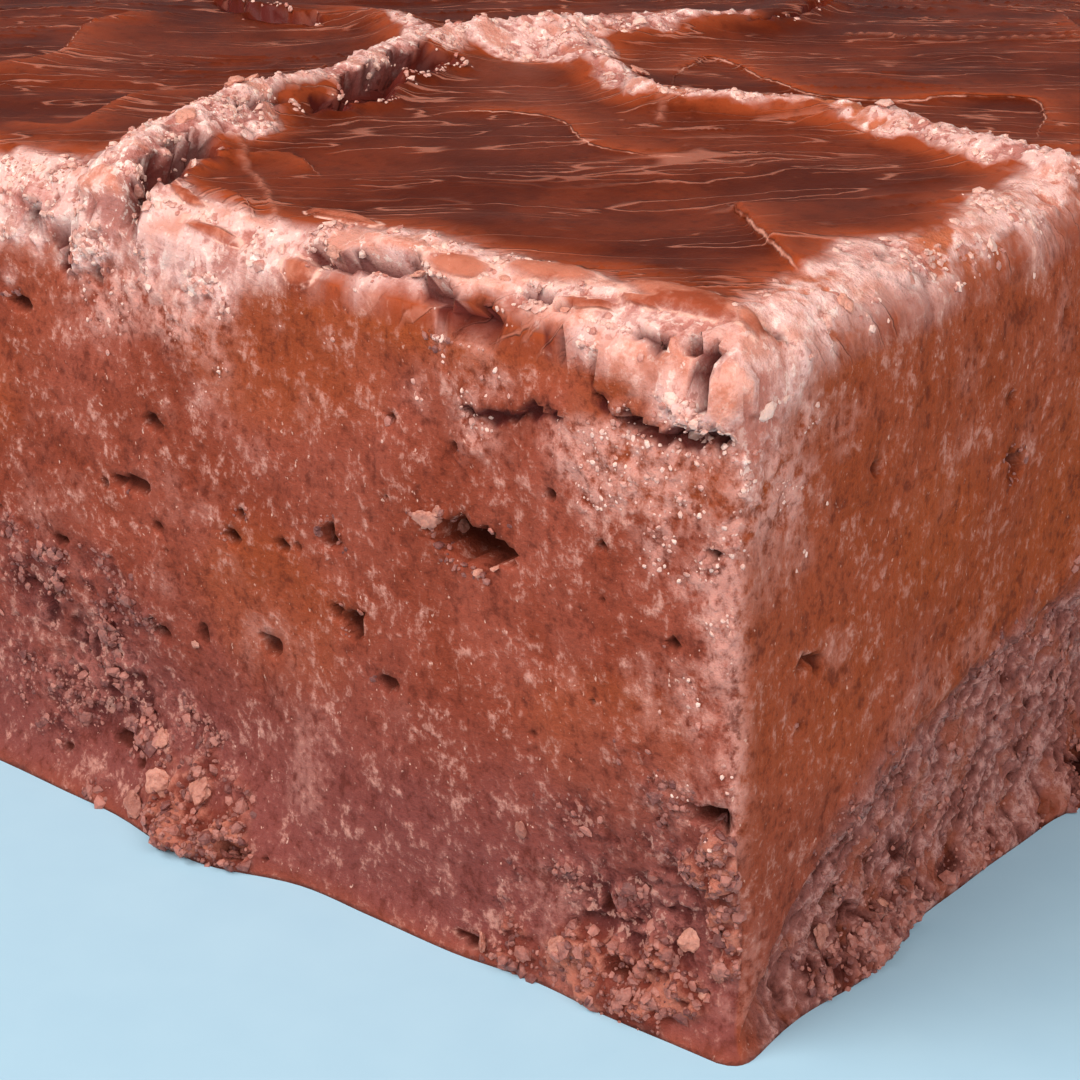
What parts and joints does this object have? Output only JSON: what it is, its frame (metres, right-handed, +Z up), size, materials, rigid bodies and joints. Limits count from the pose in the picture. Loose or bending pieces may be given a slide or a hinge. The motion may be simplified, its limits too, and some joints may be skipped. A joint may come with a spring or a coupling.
{
  "type": "fudge slab",
  "caption": "Rectangular slab of chocolate fudge with knife-cut sides, a small foot around the base and a folded, wrinkled skin on top.",
  "frame": {"origin": "centre of the flat base's bounding box, on the surface it rests on", "axes": "+X along the slab's long side, +Y along its short side, +Z up from the base to the skin"},
  "size_m": [0.0828, 0.0756, 0.0341],
  "materials": {
    "fudge": "satin skin on top, dull and grainy on the cut sides"
  },
  "bodies": {
    "root": {"fudge_block": "fudge"}
  },
  "joints": []
}
